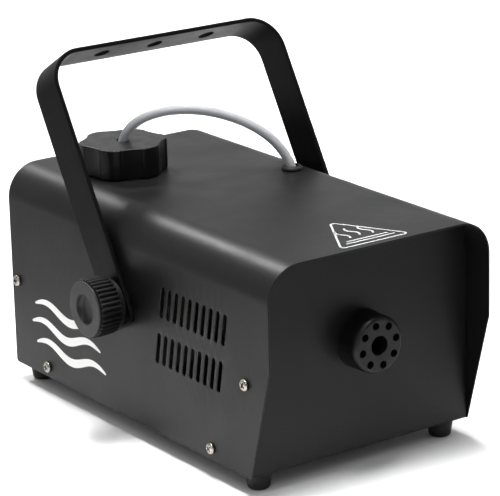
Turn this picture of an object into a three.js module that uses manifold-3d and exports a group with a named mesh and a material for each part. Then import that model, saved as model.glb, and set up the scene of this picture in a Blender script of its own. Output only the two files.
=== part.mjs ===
// Fog machine: a sheet-steel case on rubber feet, with a carrying yoke, a fluid tank, a vibration pump
// and an electric heater. Millimetres. +X right, +Y to the rear, +Z up. The origin is on the surface
// that the feet stand on, under the middle of the machine. The nozzle points towards -Y.

import * as THREE from 'three';
import { mergeVertices } from 'three/addons/utils/BufferGeometryUtils.js';
import Module from 'manifold-3d';

const wasm = await Module();
wasm.setup();

// ---------- driving dimensions ----------
// Case frame: x from the middle, y from the hood's front edge, z from the cover's lower edge.
const CASE_WIDTH = 180;
const CASE_HEIGHT = 147.2;
const COVER_LENGTH = 319;
const SHEET = 1.2;
const COVER_BEND = 24;
const HOOD_DEPTH = 22.8;
const HOOD_LIP_HEIGHT = 79.5;
const GAP = 0.3;
const TOTAL_LENGTH = 321;
const FOOT_HEIGHT = 12;

const REAR_PLATE_BACK = COVER_LENGTH - 1;
const INNER_HALF = CASE_WIDTH / 2 - SHEET - GAP;
const PLATE_HEIGHT = CASE_HEIGHT - SHEET - GAP;
const PLATE_CORNER = COVER_BEND - SHEET - GAP;

const SLOT = { length: 22.4, width: 4, pitch: 8, count: 10, lean: 0.196, firstY: 49.6, rows: [94.8, 61.3] };
const SIDE_SCREWS = [[27.3, 63.9], [311.3, 63.5], [68, 8.3], [274.1, 7.6]];
const SCREW = { shank: 2, hole: 2.3, head: 4, headHeight: 2.3 };
const FOOT = { x: 75.5, front: 35.5, rear: 306.5, top: 9.1, bottom: 7.7, bore: 4.8, seat: 5.5, edge: 1.6 };

const PIVOT = { y: 171, z: 84, stud: 4, hole: 4.4 };
const BRACKET = { width: 30.5, thick: 3, reach: 175.6, inner: 93, bend: 24.5, below: 18, holeX: 43.8, hole: 5.6 };
const BRACKET_TILT = THREE.MathUtils.degToRad(30.5);
const KNOB = { core: 18.8, ribs: 20.5, ribCount: 36, neck: 17, shoulder: 6.2, face: 19, length: 24 };

const NOZZLE = { z: 77, radius: 19.7, length: 19.6, flange: 20.1, bore: 6.5, holes: 8, hole: 2.65, ring: 13.9 };

const TANK = { x0: -79, x1: 17, y0: 206, y1: 297, z0: 3, z1: 130, wall: 2.5, corner: 12 };
const CAP = { x: -31.6, y: 255.3, lobes: 6, turn: 10, bottom: 147.8, top: 169.2, bore: 24.7, hose: 4.4 };
const LOBE = { scallop: 28, edge: 29.7, shoulder: 30.3, peak: 31.5, half: 15, groove: 0.8 };
const NECK = { outer: 23.6, inner: 20.5, top: 163 };

const HOSE_RADIUS = 3.4;
const GROMMET = { x: 60.2, y: 179.8, bore: 4.8, hole: 6.2 };
const HOSE_ROUTE = [
  [-35, 258.2, 18.3], [-35, 258.2, 50], [-35, 258.2, 90], [-35, 258.2, 125], [-34.5, 257.8, 143],
  [-33.3, 256.7, 157], [-31.5, 255.2, 168.4], [-27.9, 252.3, 176.8], [-22.7, 248.2, 182.7], [-16, 242.6, 186.9],
  [-7.8, 235.9, 189.7], [2.9, 227, 190.8], [13.7, 218.2, 189.8], [24.4, 209.4, 186.7], [35.1, 200.5, 181.5],
  [44.2, 193, 174.8], [51.3, 187.2, 166.9], [56.9, 182.5, 157.2], [59.6, 180.4, 149.5], [60.4, 179.7, 142],
  [60.4, 179.6, 132], [60.4, 179.6, 122.3],
];

const PUMP = { x: 60.4, y: 179.6, barrel: 6, bore: 5.2, port: 1.1, low: 30, high: 122 };
const COIL = { half: 15, low: 52, high: 92 };
const PLUNGER = { radius: 4.9, low: 76, high: 102.6, hole: 1.5 };
const SPRING = { radius: 4.2, wire: 0.4, turns: 8, low: 48.9, high: 75.2 };
const PRESSURE_ROUTE = [
  [60.4, 179.6, 29.7], [60.4, 179.6, 25], [55.5, 177.6, 15.5], [43, 173.5, 11.5], [25, 170, 12], [9, 169.5, 18],
  [1.5, 171.5, 31], [0, 173.5, 46], [0, 172.5, 57], [0, 168.5, 64], [0, 162.6, 66],
];

const HEATER = { x: 30, y0: 44, y1: 162, z: 77, half: 18, rod: 3.5, rodX: 20, bendY: 82, rodEnd: 174 };
const WINDOW = { x: 24, y0: 88, y1: 112 };
const INLET = { x: 50, z: 40, flange: 2.7, seat: 1.1 };
const SWITCH = { x: 50, z: 90, pivot: 314.5, tilt: THREE.MathUtils.degToRad(10) };
const REMOTE = { x: 4, z: 34 };
const BOARD = { x0: 26, x1: 82, y0: 208, y1: 276, z: 12, thick: 1.6 };

// ---------- solids ----------
const AXIS_X = new THREE.Vector3(1, 0, 0);
const AXIS_Y = new THREE.Vector3(0, 1, 0);
const AXIS_Z = new THREE.Vector3(0, 0, 1);

// A closed geometry becomes a solid that can be joined and cut. Faces are turned to point outwards.
function solidOf(geometry) {
  const bare = geometry.index ? geometry.clone() : geometry;
  bare.deleteAttribute('normal');
  bare.deleteAttribute('uv');
  const merged = mergeVertices(bare, 1e-4);
  const place = merged.attributes.position.array;
  const index = merged.index.array;
  const kept = [];
  let volume = 0;
  for (let i = 0; i < index.length; i += 3) {
    const [a, b, c] = [index[i], index[i + 1], index[i + 2]];
    if (a === b || b === c || c === a) continue;
    kept.push(a, b, c);
    const p = new THREE.Vector3().fromArray(place, 3 * a);
    const q = new THREE.Vector3().fromArray(place, 3 * b);
    const r = new THREE.Vector3().fromArray(place, 3 * c);
    volume += p.dot(q.cross(r));
  }
  const triangles = volume < 0 ? kept.reverse() : kept;
  return new wasm.Manifold(new wasm.Mesh({
    numProp: 3, vertProperties: new Float32Array(place), triVerts: new Uint32Array(triangles),
  }));
}

function geometryOf(solid) {
  const mesh = solid.getMesh();
  const geometry = new THREE.BufferGeometry();
  geometry.setAttribute('position', new THREE.BufferAttribute(new Float32Array(mesh.vertProperties), 3));
  geometry.setIndex(new THREE.BufferAttribute(new Uint32Array(mesh.triVerts), 1));
  geometry.computeVertexNormals();
  return geometry;
}

function join(first, ...others) {
  return others.reduce((body, other) => body.add(other), first);
}

function cut(first, ...tools) {
  return tools.reduce((body, tool) => body.subtract(tool), first);
}

function block(x0, x1, y0, y1, z0, z1) {
  const box = new THREE.BoxGeometry(x1 - x0, y1 - y0, z1 - z0);
  return solidOf(box.translate((x0 + x1) / 2, (y0 + y1) / 2, (z0 + z1) / 2));
}

function extruded(shape, depth, arcSteps) {
  return new THREE.ExtrudeGeometry(shape, { depth, bevelEnabled: false, curveSegments: arcSteps });
}

// A shape drawn in (y, z) that runs from x0 to x1.
function acrossX(shape, x0, x1, arcSteps = 6) {
  const turn = new THREE.Matrix4().makeBasis(AXIS_Y, AXIS_Z, AXIS_X);
  return solidOf(extruded(shape, x1 - x0, arcSteps).applyMatrix4(turn).translate(x0, 0, 0));
}

// A shape drawn in (x, z) that runs from y0 to y1.
function alongY(shape, y0, y1, arcSteps = 6) {
  const turn = new THREE.Matrix4().makeBasis(AXIS_X, AXIS_Z, AXIS_Y.clone().negate());
  return solidOf(extruded(shape, y1 - y0, arcSteps).applyMatrix4(turn).translate(0, y1, 0));
}

// A shape drawn in (x, y) that runs from z0 to z1.
function upZ(shape, z0, z1, arcSteps = 6) {
  return solidOf(extruded(shape, z1 - z0, arcSteps).translate(0, 0, z0));
}

// A profile of [radius, z] pairs turned about Z. It starts and ends on the axis, or closes on itself.
function turned(profile, sides = 32) {
  const onAxis = profile[0][0] === 0;
  const points = profile.map(([radius, z]) => new THREE.Vector2(radius, z));
  if (!onAxis) points.push(points[0].clone());
  return solidOf(new THREE.LatheGeometry(points, sides).rotateX(Math.PI / 2));
}

function ring(inner, outer, z0, z1, sides = 32) {
  return turned([[inner, z0], [outer, z0], [outer, z1], [inner, z1]], sides);
}

function polygon(sides, radiusAt) {
  const points = [];
  for (let i = 0; i < sides; i += 1) {
    const angle = (2 * Math.PI * i) / sides;
    const radius = radiusAt(angle, i);
    points.push(new THREE.Vector2(radius * Math.cos(angle), radius * Math.sin(angle)));
  }
  return new THREE.Shape(points);
}

function roundRect(x0, x1, y0, y1, radius) {
  const shape = new THREE.Shape();
  shape.absarc(x1 - radius, y1 - radius, radius, 0, Math.PI / 2);
  shape.absarc(x0 + radius, y1 - radius, radius, Math.PI / 2, Math.PI);
  shape.absarc(x0 + radius, y0 + radius, radius, Math.PI, 1.5 * Math.PI);
  shape.absarc(x1 - radius, y0 + radius, radius, 1.5 * Math.PI, 2 * Math.PI);
  return shape;
}

function outline(points) {
  return new THREE.Shape(points.map(([a, b]) => new THREE.Vector2(a, b)));
}

function disc(a, b, radius, sides = 20) {
  const points = polygon(sides, () => radius).getPoints();
  return new THREE.Shape(points.map((p) => new THREE.Vector2(p.x + a, p.y + b)));
}

// A round bar along a smooth curve through the given points.
function bar(route, radius, sides, steps) {
  const path = new THREE.CatmullRomCurve3(route.map((p) => new THREE.Vector3(...p)), false, 'centripetal');
  const section = polygon(sides, () => radius);
  return solidOf(new THREE.ExtrudeGeometry(section, { extrudePath: path, steps, bevelEnabled: false }));
}

// ---------- the scene graph ----------
const machine = new THREE.Group();
const inCase = new THREE.Group();
inCase.position.set(0, -TOTAL_LENGTH / 2, FOOT_HEIGHT);
machine.add(inCase);

function part(name, solid, colour, roughness, metalness, parent = inCase) {
  const material = new THREE.MeshStandardMaterial({ color: colour, roughness, metalness });
  const mesh = new THREE.Mesh(geometryOf(solid), material);
  mesh.name = name;
  parent.add(mesh);
  return mesh;
}

function placed(x, y, z, turnX = 0, turnY = 0, parent = inCase) {
  const group = new THREE.Group();
  group.position.set(x, y, z);
  group.rotation.set(turnX, turnY, 0);
  parent.add(group);
  return group;
}

// ---------- case ----------
function archShape(half, height, corner) {
  const shape = new THREE.Shape();
  shape.moveTo(half, 0);
  shape.lineTo(half, height - corner);
  shape.absarc(half - corner, height - corner, corner, 0, Math.PI / 2);
  shape.absarc(-half + corner, height - corner, corner, Math.PI / 2, Math.PI);
  shape.lineTo(-half, 0);
  return shape;
}

function slotShape(y, z) {
  const radius = SLOT.width / 2;
  const lean = Math.atan(SLOT.lean);
  const reach = SLOT.length / 2 - radius;
  const up = Math.PI / 2 + lean;
  const [dy, dz] = [-reach * Math.sin(lean), reach * Math.cos(lean)];
  const shape = new THREE.Shape();
  shape.absarc(y + dy, z + dz, radius, up - Math.PI / 2, up + Math.PI / 2);
  shape.absarc(y - dy, z - dz, radius, up + Math.PI / 2, up + 1.5 * Math.PI);
  return shape;
}

function coverSolid() {
  const half = CASE_WIDTH / 2;
  const outside = alongY(archShape(half, CASE_HEIGHT, COVER_BEND), 0, COVER_LENGTH, 8);
  const insideArch = archShape(half - SHEET, CASE_HEIGHT - SHEET, COVER_BEND - SHEET);
  const inside = alongY(insideArch, -1, COVER_LENGTH + 1, 8);
  const below = block(-half, half, -1, COVER_LENGTH + 1, -1, 0.5);
  const slant = HOOD_DEPTH / HOOD_LIP_HEIGHT;
  const frontCorner = outline([
    [-5, HOOD_LIP_HEIGHT], [0, HOOD_LIP_HEIGHT], [HOOD_DEPTH, 0], [HOOD_DEPTH + 5 * slant, -5], [-5, -5],
  ]);
  const slots = [];
  for (const z of SLOT.rows) {
    for (let i = 0; i < SLOT.count; i += 1) {
      const y = SLOT.firstY + i * SLOT.pitch + SLOT.lean * (SLOT.rows[0] - z);
      slots.push(acrossX(slotShape(y, z), -half - 1, half + 1, 2));
    }
  }
  const screwHoles = SIDE_SCREWS.map(([y, z]) => acrossX(disc(y, z, SCREW.hole, 8), -half - 1, half + 1));
  return cut(
    outside, inside, below.intersect(inside), acrossX(frontCorner, -half - 1, half + 1), ...slots, ...screwHoles,
    acrossX(disc(PIVOT.y, PIVOT.z, PIVOT.hole, 12), -half - 1, half + 1),
    upZ(disc(CAP.x, CAP.y, 26, 28), CASE_HEIGHT - 5, CASE_HEIGHT + 5),
    upZ(disc(GROMMET.x, GROMMET.y, GROMMET.hole, 16), CASE_HEIGHT - 5, CASE_HEIGHT + 5),
  );
}

function chassisSolid() {
  const plate = archShape(INNER_HALF, PLATE_HEIGHT, PLATE_CORNER);
  const front = alongY(plate, HOOD_DEPTH, HOOD_DEPTH + SHEET, 5);
  const rear = alongY(plate, REAR_PLATE_BACK - SHEET, REAR_PLATE_BACK, 5);
  const floor = block(-INNER_HALF, INNER_HALF, HOOD_DEPTH, REAR_PLATE_BACK, 0, SHEET);
  const flanges = [];
  for (const side of [-1, 1]) {
    const [x0, x1] = side < 0 ? [-INNER_HALF, -INNER_HALF + SHEET] : [INNER_HALF - SHEET, INNER_HALF];
    flanges.push(block(x0, x1, HOOD_DEPTH + SHEET / 2, HOOD_DEPTH + 13, 20, 112));
    flanges.push(block(x0, x1, REAR_PLATE_BACK - 13, REAR_PLATE_BACK - SHEET / 2, 20, 112));
    flanges.push(block(x0, x1, 45, 297, SHEET / 2, 15));
  }
  const body = join(floor, front, rear, ...flanges);
  const screwHoles = SIDE_SCREWS.map(([y, z]) => acrossX(disc(y, z, SCREW.hole, 8), -100, 100));
  const footHoles = footPlaces().map(([x, y]) => upZ(disc(x, y, SCREW.hole, 8), -1, 5));
  return cut(
    body, ...screwHoles, ...footHoles,
    alongY(disc(0, NOZZLE.z, 12.4, 20), HOOD_DEPTH - 1, HOOD_DEPTH + 3),
    block(INLET.x - 14, INLET.x + 14, REAR_PLATE_BACK - 3, REAR_PLATE_BACK + 3, INLET.z - 16, INLET.z + 16),
    block(SWITCH.x - 6.7, SWITCH.x + 6.7, REAR_PLATE_BACK - 3, REAR_PLATE_BACK + 3, SWITCH.z - 10.2, SWITCH.z + 10.2),
    alongY(disc(REMOTE.x, REMOTE.z, 8.3, 16), REAR_PLATE_BACK - 3, REAR_PLATE_BACK + 3),
    ...inletScrewPlaces().map(([x, z]) => alongY(disc(x, z, 1.9, 8), REAR_PLATE_BACK - 3, REAR_PLATE_BACK + 3)),
  );
}

// A pan-head screw with a cross recess. Its head sits on z = 0 and points up.
function screwSolid(shank, length, head, headHeight) {
  const body = turned([
    [0, -length], [shank, -length], [shank, 0], [head, 0], [head, 0.4 * headHeight],
    [0.8 * head, 0.85 * headHeight], [0.5 * head, headHeight], [0, headHeight],
  ], 10);
  const [arm, slit, floor] = [0.55 * head, 0.13 * head, 0.4 * headHeight];
  const cross = join(
    block(-arm, arm, -slit, slit, floor, headHeight + 1),
    block(-slit, slit, -arm, arm, floor, headHeight + 1),
  );
  return cut(body, cross);
}

function footPlaces() {
  return [[-FOOT.x, FOOT.front], [FOOT.x, FOOT.front], [-FOOT.x, FOOT.rear], [FOOT.x, FOOT.rear]];
}

function footSolid() {
  return turned([
    [SCREW.hole, -GAP], [SCREW.hole, -FOOT.seat], [FOOT.bore, -FOOT.seat], [FOOT.bore, -FOOT_HEIGHT],
    [FOOT.bottom - FOOT.edge, -FOOT_HEIGHT], [FOOT.bottom, -FOOT_HEIGHT + FOOT.edge], [FOOT.top, -1],
    [FOOT.top - 0.3, -GAP],
  ], 18);
}

function addCase() {
  part('cover', coverSolid(), 0x1d1d1e, 0.62, 0.1);
  part('chassis', chassisSolid(), 0x1a1a1b, 0.62, 0.1);
  const sideScrew = screwSolid(SCREW.shank, 8, SCREW.head, SCREW.headHeight);
  let number = 1;
  for (const side of [-1, 1]) {
    for (const [y, z] of SIDE_SCREWS) {
      const seat = placed(side * (CASE_WIDTH / 2 + GAP), y, z, 0, (side * Math.PI) / 2);
      part(`cover_screw_${number}`, sideScrew, 0xb9b6ae, 0.3, 1, seat);
      number += 1;
    }
  }
  const footScrew = screwSolid(SCREW.shank, FOOT.seat + 7, SCREW.head, SCREW.headHeight);
  const names = ['front_left', 'front_right', 'rear_left', 'rear_right'];
  footPlaces().forEach(([x, y], i) => {
    part(`foot_${names[i]}`, footSolid(), 0x141414, 0.85, 0, placed(x, y, 0));
    part(`foot_screw_${names[i]}`, footScrew, 0xb9b6ae, 0.3, 1, placed(x, y, -FOOT.seat - GAP, Math.PI));
  });
}

// ---------- yoke and its pivots ----------
function bracketSolid() {
  const outer = BRACKET.inner + BRACKET.thick;
  const { bend, reach, inner, thick, below, width } = BRACKET;
  const profile = new THREE.Shape();
  profile.moveTo(outer, -below);
  profile.lineTo(outer, reach - bend);
  profile.absarc(outer - bend, reach - bend, bend, 0, Math.PI / 2);
  profile.absarc(-outer + bend, reach - bend, bend, Math.PI / 2, Math.PI);
  profile.lineTo(-outer, -below);
  profile.lineTo(-inner, -below);
  profile.absarc(-outer + bend, reach - bend, bend - thick, Math.PI, Math.PI / 2, true);
  profile.absarc(outer - bend, reach - bend, bend - thick, Math.PI / 2, 0, true);
  profile.lineTo(inner, -below);
  const strip = alongY(profile, -width / 2, width / 2, 7);
  const sideView = acrossX(roundRect(-width / 2 - 0.01, width / 2 + 0.01, -below, reach + 20, 6), -100, 100, 3);
  const bolts = [-BRACKET.holeX, 0, BRACKET.holeX].map((x) => upZ(disc(x, 0, BRACKET.hole, 14), reach - 6, reach + 2));
  return cut(strip.intersect(sideView), acrossX(disc(0, 0, PIVOT.hole, 12), -100, 100), ...bolts);
}

// Local z runs outwards from the yoke arm's outer face.
function knobSolid() {
  const { core, ribs, ribCount, neck, shoulder, face, length } = KNOB;
  const body = turned([
    [0, 15], [4.3, 15], [4.3, 1.8], [neck - 0.5, 1.8], [neck, 2.3], [neck, 7.5], [core - 1, 7.5], [core - 1, 22.4],
    [face, 22.8], [face, length - 0.5], [face - 0.5, length], [10.5, length], [10, 21.4], [8.8, 20.1], [0, 19.8],
  ], 28);
  const toothed = polygon(2 * ribCount, (angle, i) => (i % 2 ? ribs : core));
  return cut(join(body, upZ(toothed, shoulder, 22)), upZ(disc(0, 0, 4.3, 14), 1, 15));
}

function addPivot(side, name) {
  const outwards = (side * Math.PI) / 2;
  const pivot = placed(side * (BRACKET.inner + BRACKET.thick), PIVOT.y, PIVOT.z, 0, outwards);
  const { stud, hole } = PIVOT;
  const armInner = -BRACKET.thick;
  const caseFace = CASE_WIDTH / 2 - BRACKET.inner - BRACKET.thick;
  part(`pivot_spacer_${name}`, ring(hole, 11, caseFace + GAP, armInner - GAP, 20), 0x2a2a2a, 0.8, 0, pivot);
  part(`knob_washer_${name}`, ring(hole, 10, GAP, 1.5, 20), 0x141414, 0.8, 0, pivot);
  part(`knob_${name}`, knobSolid(), 0x161616, 0.45, 0, pivot);
  const studBody = turned([[0, -17.5], [stud - 0.8, -17.5], [stud, -16.7], [stud, 14], [stud - 0.7, 14.7], [0, 14.7]], 12);
  part(`knob_stud_${name}`, studBody, 0xa9a69f, 0.35, 1, pivot);
  const nutShape = polygon(6, () => 7.5);
  const nutTop = caseFace - SHEET - GAP;
  const nut = cut(upZ(nutShape, nutTop - 6.5, nutTop), upZ(disc(0, 0, hole, 12), nutTop - 8, nutTop + 1));
  part(`pivot_nut_${name}`, nut, 0xa9a69f, 0.4, 1, pivot);
}

function addYoke() {
  const yoke = placed(0, PIVOT.y, PIVOT.z, -BRACKET_TILT);
  part('bracket', bracketSolid(), 0x1b1b1c, 0.58, 0.1, yoke);
  addPivot(-1, 'left');
  addPivot(1, 'right');
}

// ---------- nozzle ----------
// Local z runs forwards, out of the front plate.
function shroudSolid() {
  const { radius, length, flange, bore, hole, holes, ring: pitchRadius } = NOZZLE;
  const body = turned([
    [bore, -7], [12, -7], [12, GAP], [flange, GAP], [flange, 1.4], [radius, 1.8],
    [radius, length - 4], [radius - 0.7, length - 1.5], [radius - 2.7, length], [bore + 0.4, length], [bore, length - 0.4],
  ], 28);
  const pockets = [];
  for (let i = 0; i < holes; i += 1) {
    const angle = THREE.MathUtils.degToRad(11 + (360 / holes) * i);
    const [x, y] = [pitchRadius * Math.cos(angle), pitchRadius * Math.sin(angle)];
    pockets.push(upZ(disc(x, y, hole, 10), 6, length + 1));
  }
  return cut(body, ...pockets);
}

function jetSolid() {
  const body = turned([
    [0, -9], [3, -9], [3, GAP], [5.5, GAP], [5.5, 6], [4, 6.8], [4, 24], [2, 28], [0, 28],
  ], 16);
  return cut(body, turned([[0, 8], [0.8, 8], [0.8, 30], [0, 30]], 8));
}

function addNozzle() {
  const forwards = Math.PI / 2;
  part('nozzle_shroud', shroudSolid(), 0x151515, 0.4, 0.2, placed(0, HOOD_DEPTH, NOZZLE.z, forwards));
  part('jet_nozzle', jetSolid(), 0xb08d4f, 0.35, 1, placed(0, HEATER.y0, NOZZLE.z, forwards));
}

// ---------- fluid supply ----------
function tankSolid() {
  const { x0, x1, y0, y1, z0, z1, wall, corner } = TANK;
  const outside = upZ(roundRect(x0, x1, y0, y1, corner), z0, z1, 4);
  const inside = upZ(roundRect(x0 + wall, x1 - wall, y0 + wall, y1 - wall, corner - wall), z0 + wall, z1 - wall, 4);
  const neck = new THREE.Matrix4().makeTranslation(CAP.x, CAP.y, 0);
  const moved = (solid) => solidOf(geometryOf(solid).applyMatrix4(neck));
  const { outer, inner, top } = NECK;
  const spout = turned([[0, z1 - 1], [outer, z1 - 1], [outer, top], [0, top]], 20);
  const bore = turned([[0, z1 - 6], [inner, z1 - 6], [inner, top + 1], [0, top + 1]], 20);
  return cut(join(outside, moved(spout)), inside, moved(bore));
}

// The cap's outline repeats a finger scallop, a narrow groove at each of its ends, and a rounded lobe.
function capOutline() {
  const { scallop, edge, shoulder, peak, half, groove } = LOBE;
  const steps = [
    [-half, edge - groove], [-half + 1, edge], [-half / 2, scallop + (edge - scallop) / 4], [0, scallop],
    [half / 2, scallop + (edge - scallop) / 4], [half - 1, edge], [half, edge - groove], [half + 1, shoulder],
    [half * 1.5, peak - (peak - shoulder) / 4], [half * 2, peak], [half * 2.5, peak - (peak - shoulder) / 4],
    [half * 3 - 1, shoulder],
  ];
  const points = [];
  for (let lobe = 0; lobe < CAP.lobes; lobe += 1) {
    for (const [degrees, radius] of steps) {
      const angle = THREE.MathUtils.degToRad(CAP.turn + (360 / CAP.lobes) * lobe + degrees);
      points.push([radius * Math.cos(angle), radius * Math.sin(angle)]);
    }
  }
  return outline(points);
}

function capSolid() {
  const { bottom, top, bore, hose } = CAP;
  const bevel = 1;
  const outer = LOBE.peak + 0.1;
  const rims = turned([
    [0, bottom], [outer - bevel, bottom], [outer, bottom + bevel], [outer, top - bevel], [outer - bevel, top],
    [0, top],
  ], 48);
  const shell = upZ(capOutline(), bottom, top).intersect(rims);
  const room = turned([[0, bottom - 1], [bore, bottom - 1], [bore, top - 2.2], [0, top - 2.2]], 24);
  const hoseHole = turned([[0, top - 4], [hose, top - 4], [hose, top + 1], [0, top + 1]], 14);
  return cut(shell, room, hoseHole);
}

function traySolid() {
  const lip = SHEET;
  const [x0, x1, y0, y1] = [TANK.x0 - 0.5, TANK.x1 + 0.5, TANK.y0 - 0.5, TANK.y1 + 0.5];
  const outside = block(x0 - lip, x1 + lip, y0 - lip, y1 + lip, SHEET + GAP, 14);
  return cut(outside, block(x0, x1, y0, y1, SHEET + GAP + 1.2, 15));
}

function addFluidSupply() {
  part('tank', tankSolid(), 0xd8d8d0, 0.5, 0);
  part('tank_tray', traySolid(), 0x8f9194, 0.45, 0.9);
  const neck = placed(CAP.x, CAP.y, 0);
  part('tank_cap', capSolid(), 0x17181a, 0.42, 0, neck);
  part('cap_seal', ring(20.6, 24.2, NECK.top + GAP, CAP.top - 2.5, 24), 0x232323, 0.9, 0, neck);
  part('feed_hose', bar(HOSE_ROUTE, HOSE_RADIUS, 8, 44), 0xe4e6e8, 0.3, 0);
  const [hoseX, hoseY, hoseEnd] = HOSE_ROUTE[0];
  const filter = turned([[0, 6.5], [5.4, 6.5], [6, 7.2], [6, 15.5], [4, hoseEnd - GAP], [0, hoseEnd - GAP]], 16);
  part('pickup_filter', filter, 0xbfc0bd, 0.6, 0, placed(hoseX, hoseY, 0));
  const [under, over] = [CASE_HEIGHT - SHEET - GAP, CASE_HEIGHT + GAP];
  const grommet = turned([
    [GROMMET.bore, 143], [6.8, 143], [7.2, 144.2], [7, under], [GROMMET.hole - GAP, under],
    [GROMMET.hole - GAP, over], [7.5, over], [7.5, over + 1.1], [6.6, over + 2.4], [5.2, over + 2.9],
    [GROMMET.bore, over + 2.5],
  ], 20);
  part('hose_grommet', grommet, 0x121212, 0.8, 0, placed(GROMMET.x, GROMMET.y, 0));
}

// ---------- vibration pump ----------
function barrelSolid() {
  const { barrel, bore, port, low, high } = PUMP;
  return turned([
    [port, low], [3, low], [3, 42], [barrel, 42], [barrel, 108], [3.4, 108], [3.4, 112], [2.3, 112],
    [2.9, 115], [2.2, 118], [2.6, 120], [1.9, high], [port, high], [port, 103], [bore, 103], [bore, 48], [port, 48],
  ], 16);
}

function coilSolid() {
  const { half, low, high } = COIL;
  const flange = (z0, z1) => upZ(roundRect(-half, half, -half, half, 3), z0, z1, 2);
  const winding = turned([[0, low + 2], [half - 1.5, low + 2], [half - 1.5, high - 2], [0, high - 2]], 20);
  const tabs = [-6, 6].map((x) => block(x - 1.6, x + 1.6, half - 1, half + 7, high - 2.4, high - 1.6));
  const body = join(flange(low, low + 3), flange(high - 3, high), winding, ...tabs);
  return cut(body, upZ(disc(0, 0, PUMP.barrel + GAP, 16), low - 1, high + 1));
}

function pumpBracketSolid() {
  const { half, low, high } = COIL;
  const [x0, x1] = [-half - 2, -half - 0.5];
  const upright = block(x0, x1, -half, half, SHEET + GAP, high + 1.8);
  const ears = [low - 1.8, high + GAP].map((z) => block(x0, half - 2, -half + 3, half - 3, z, z + 1.5));
  const foot = block(x0 - 22, x1, -half, half, SHEET + GAP, SHEET + GAP + 1.5);
  const barrelHole = upZ(disc(0, 0, PUMP.barrel + 0.4, 16), low - 5, high + 5);
  const tubeWindow = block(x0 - 1, x1 + 1, -12, -1, 6, 19);
  return cut(join(upright, foot, ...ears), barrelHole, tubeWindow);
}

function springSolid() {
  const { radius, wire, turns, low, high } = SPRING;
  const stepsPerTurn = 8;
  const route = [];
  for (let i = 0; i <= turns * stepsPerTurn; i += 1) {
    const angle = (2 * Math.PI * i) / stepsPerTurn;
    const z = low + ((high - low) * i) / (turns * stepsPerTurn);
    route.push([radius * Math.cos(angle), radius * Math.sin(angle), z]);
  }
  return bar(route, wire, 5, turns * stepsPerTurn);
}

function addPump() {
  const axis = placed(PUMP.x, PUMP.y, 0);
  part('pump_barrel', barrelSolid(), 0xb59555, 0.35, 1, axis);
  part('pump_coil', coilSolid(), 0x7a3b22, 0.5, 0, axis);
  part('pump_bracket', pumpBracketSolid(), 0xa4a6a8, 0.4, 1, axis);
  const { radius, low, high, hole } = PLUNGER;
  part('pump_plunger', ring(hole, radius, low, high, 16), 0xc2c2c0, 0.25, 1, axis);
  part('pump_spring', springSolid(), 0xc8c8c4, 0.3, 1, axis);
  part('pressure_tube', bar(PRESSURE_ROUTE, 2, 8, 28), 0xb5734a, 0.35, 1);
}

// ---------- heater ----------
function hairpin(radius, end) {
  const { rodX, bendY, z } = HEATER;
  const bendSteps = 6;
  const route = [[rodX, end, z], [rodX, (end + bendY) / 2, z]];
  for (let i = 0; i <= bendSteps; i += 1) {
    const angle = (Math.PI * i) / bendSteps;
    route.push([rodX * Math.cos(angle), bendY - rodX * Math.sin(angle), z]);
  }
  route.push([-rodX, (end + bendY) / 2, z], [-rodX, end, z]);
  return bar(route, radius, 8, 24);
}

function sleeve(halfX, halfZ, wall, y0, y1) {
  const centre = HEATER.z;
  const shape = roundRect(-halfX, halfX, centre - halfZ, centre + halfZ, 3);
  const hole = roundRect(-halfX + wall, halfX - wall, centre - halfZ + wall, centre + halfZ - wall, 2);
  const tube = cut(alongY(shape, y0, y1, 3), alongY(hole, y0 - 1, y1 + 1, 3));
  return cut(tube, block(-WINDOW.x, WINDOW.x, WINDOW.y0, WINDOW.y1, centre, centre + 60));
}

function thermalSwitch() {
  const low = HEATER.z + HEATER.half + GAP;
  const body = turned([[0, low], [8, low], [8, low + 5], [6.5, low + 6.5], [0, low + 6.5]], 16);
  const tabs = [-4, 4].map((x) => block(x - 0.4, x + 0.4, -2.4, 2.4, low + 6, low + 12));
  return join(body, ...tabs);
}

function addHeater() {
  const { x, y0, y1, z, half, rod, rodEnd } = HEATER;
  const blockShape = roundRect(-x, x, z - half, z + half, 3);
  const jetHole = alongY(disc(0, NOZZLE.z, 3.3, 12), y0 - 1, y0 + 9.5);
  const heaterBlock = cut(alongY(blockShape, y0, y1, 3), hairpin(rod + 0.35, y1 + 5), jetHole);
  part('heater_block', heaterBlock, 0xa9abad, 0.5, 0.9);
  part('heater_element', hairpin(rod, rodEnd), 0x6f6a63, 0.45, 1);
  part('heater_insulation', sleeve(36.5, 24.5, 6.1, y0 + 2, y1 - 2), 0xdedccf, 0.95, 0);
  part('heater_jacket', sleeve(37.7, 25.7, 0.9, y0, y1), 0xb4b6b8, 0.35, 1);
  const top = z - 25.7 - GAP;
  const foot = SHEET + GAP;
  const stand = outline([
    [46, foot], [46, foot + 1.2], [34, foot + 1.2], [34, top], [-34, top], [-34, foot + 1.2], [-46, foot + 1.2],
    [-46, foot], [-32.8, foot], [-32.8, top - 1.2], [32.8, top - 1.2], [32.8, foot],
  ]);
  part('heater_stand', alongY(stand, 60, 150), 0xa4a6a8, 0.4, 1);
  part('thermostat', thermalSwitch(), 0x5a3a28, 0.5, 0, placed(-13, 100, 0));
  part('thermal_cutout', thermalSwitch(), 0x2c2c30, 0.5, 0, placed(13, 100, 0));
}

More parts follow.
